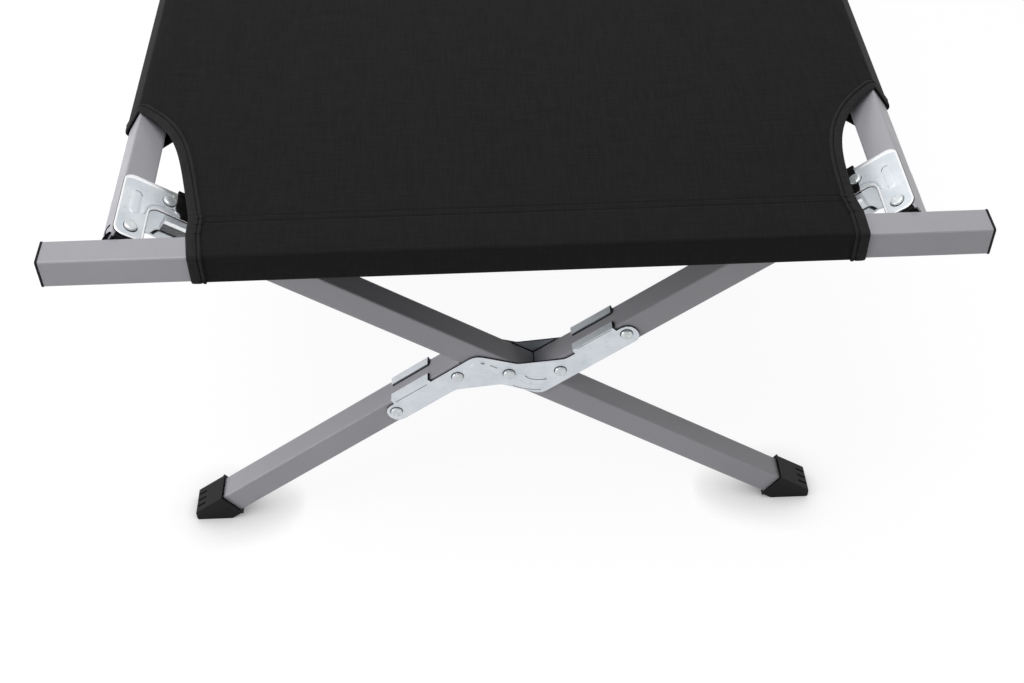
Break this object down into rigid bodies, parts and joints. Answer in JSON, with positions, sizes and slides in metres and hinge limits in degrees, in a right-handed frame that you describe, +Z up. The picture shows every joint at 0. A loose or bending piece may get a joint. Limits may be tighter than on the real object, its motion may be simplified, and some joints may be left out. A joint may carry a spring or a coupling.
{
  "type": "folding camp bed",
  "caption": "Folding camp bed: stretched cloth cover on square tube side rails and end bars, carried by scissor legs with riveted plates, rail brackets and plastic feet.",
  "frame": {"origin": "on the floor, under the middle of the bed", "axes": "+Z up, +Y along the bed from the front end to the rear end, +X across the bed to the right as seen from the front end"},
  "size_m": [0.73, 1.9026, 0.4119],
  "materials": {
    "grey_tube": "grey powder coat, satin",
    "zinc_steel": "bright zinc plating on pressed sheet steel and rivets",
    "black_plastic": "moulded, satin",
    "black_cloth": "plain woven oxford polyester, coated, matt"
  },
  "bodies": {
    "right_frame": {"cover_right_sleeve": "black_cloth", "cover_sheet": "black_cloth", "front_left_foot": "black_plastic", "front_legs_back_plate": "zinc_steel", "front_legs_front_plate": "zinc_steel", "front_lower_half_leg": "grey_tube", "front_right_leg_end": "black_plastic", "front_right_rail_bracket": "zinc_steel", "front_upper_half_leg": "grey_tube", "middle_left_foot": "black_plastic", "middle_legs_back_plate": "zinc_steel", "middle_legs_front_plate": "zinc_steel", "middle_lower_half_leg": "grey_tube", "middle_right_leg_end": "black_plastic", "middle_right_rail_bracket": "zinc_steel", "middle_upper_half_leg": "grey_tube", "rear_left_foot": "black_plastic", "rear_legs_back_plate": "zinc_steel", "rear_legs_front_plate": "zinc_steel", "rear_lower_half_leg": "grey_tube", "rear_right_leg_end": "black_plastic", "rear_right_rail_bracket": "zinc_steel", "rear_upper_half_leg": "grey_tube", "right_rail_front_half": "grey_tube", "right_rail_front_plug": "black_plastic", "right_rail_rear_half": "grey_tube", "right_rail_rear_plug": "black_plastic"},
    "left_frame": {"cover_left_sleeve": "black_cloth", "front_left_leg_end": "black_plastic", "front_left_rail_bracket": "zinc_steel", "front_pivot_rivet": "zinc_steel", "front_right_foot": "black_plastic", "front_through_leg": "grey_tube", "left_rail_front_half": "grey_tube", "left_rail_front_plug": "black_plastic", "left_rail_rear_half": "grey_tube", "left_rail_rear_plug": "black_plastic", "middle_left_leg_end": "black_plastic", "middle_left_rail_bracket": "zinc_steel", "middle_pivot_rivet": "zinc_steel", "middle_right_foot": "black_plastic", "middle_through_leg": "grey_tube", "rear_left_leg_end": "black_plastic", "rear_left_rail_bracket": "zinc_steel", "rear_pivot_rivet": "zinc_steel", "rear_right_foot": "black_plastic", "rear_through_leg": "grey_tube"},
    "front_bar": {"cover_front_sleeve": "black_cloth", "front_bar_left_cap": "black_plastic", "front_bar_right_cap": "black_plastic", "front_end_bar": "grey_tube"},
    "rear_bar": {"cover_rear_sleeve": "black_cloth", "rear_bar_left_cap": "black_plastic", "rear_bar_right_cap": "black_plastic", "rear_end_bar": "grey_tube"}
  },
  "joints": [
    {"name": "frame_fold", "type": "hinge", "parent": "right_frame", "child": "left_frame", "pos_m": [-0.007, 0, 0.1915], "axis": [0, 1, 0], "range_deg": [0, 105], "deforming": ["cover_front_sleeve", "cover_left_sleeve", "cover_rear_sleeve", "cover_right_sleeve", "cover_sheet"]},
    {"name": "front_bar_pull", "type": "slide", "parent": "right_frame", "child": "front_bar", "axis": [0, -1, 0], "range_m": [0, 0.012], "stiffness_N_per_m": 500, "springref_m": -0.01},
    {"name": "rear_bar_pull", "type": "slide", "parent": "right_frame", "child": "rear_bar", "axis": [0, 1, 0], "range_m": [0, 0.012], "stiffness_N_per_m": 500, "springref_m": -0.01}
  ]
}
